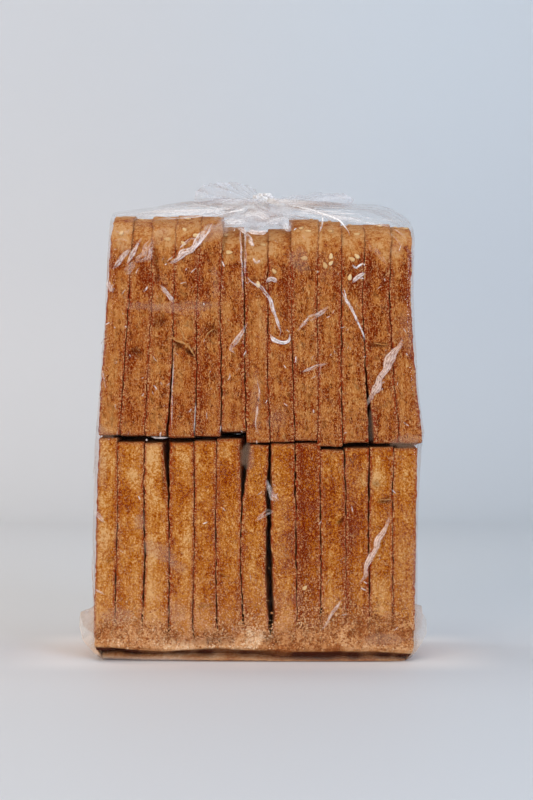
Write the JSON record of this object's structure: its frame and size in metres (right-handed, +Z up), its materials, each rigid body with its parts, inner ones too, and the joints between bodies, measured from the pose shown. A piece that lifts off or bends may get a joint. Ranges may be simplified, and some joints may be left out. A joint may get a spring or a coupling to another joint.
{
  "type": "bag of rusks",
  "caption": "Rusk slices packed on edge in stacked rows inside a clear film bag, gathered at the top and tied in a knot with two spread ears.",
  "frame": {"origin": "middle of the base, on the surface the bag stands on", "axes": "+Z up towards the knot, -Y the front face with the crust edges of the slices, +X to the right seen from the front"},
  "size_m": [0.1694, 0.0894, 0.23],
  "materials": {
    "filled_bag": "satin",
    "film": "gloss",
    "crust": "matte",
    "crumbs": "matte",
    "sesame": "satin"
  },
  "bodies": {
    "root": {"bag": "filled_bag"}
  },
  "joints": []
}
